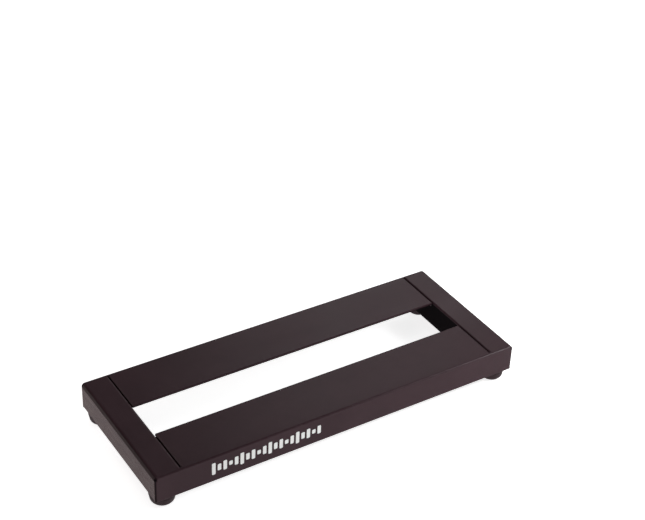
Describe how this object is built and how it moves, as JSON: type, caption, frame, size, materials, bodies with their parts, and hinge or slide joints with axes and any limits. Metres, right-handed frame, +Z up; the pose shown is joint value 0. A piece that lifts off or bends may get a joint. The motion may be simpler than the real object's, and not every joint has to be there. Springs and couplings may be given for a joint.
{
  "type": "pedalboard",
  "caption": "Small low pedalboard frame: coated aluminium angle rails either side of a cable slot, welded to box-section ends on screwed rubber feet.",
  "frame": {"origin": "centre of the footprint, on the floor under the rubber feet", "axes": "+X along the length to the player's right, +Y from the front rail to the rear rail, +Z up out of the deck"},
  "size_m": [0.3556, 0.1397, 0.0364],
  "materials": {
    "frame_coat": "satin",
    "weld_bead": "satin",
    "foot_rubber": "matte",
    "zinc_steel": "satin",
    "black_steel": "satin",
    "white_ink": "matte"
  },
  "bodies": {
    "root": {"front_rail": "frame_coat", "rear_rail": "frame_coat", "left_end": "frame_coat", "right_end": "frame_coat", "deck_weld_front_left": "weld_bead", "web_weld_front_left": "weld_bead", "foot_front_left": "foot_rubber", "foot_washer_front_left": "zinc_steel", "foot_screw_front_left": "black_steel", "deck_weld_rear_left": "weld_bead", "web_weld_rear_left": "weld_bead", "foot_rear_left": "foot_rubber", "foot_washer_rear_left": "zinc_steel", "foot_screw_rear_left": "black_steel", "deck_weld_front_right": "weld_bead", "web_weld_front_right": "weld_bead", "foot_front_right": "foot_rubber", "foot_washer_front_right": "zinc_steel", "foot_screw_front_right": "black_steel", "deck_weld_rear_right": "weld_bead", "web_weld_rear_right": "weld_bead", "foot_rear_right": "foot_rubber", "foot_washer_rear_right": "zinc_steel", "foot_screw_rear_right": "black_steel", "front_print": "white_ink"}
  },
  "joints": []
}
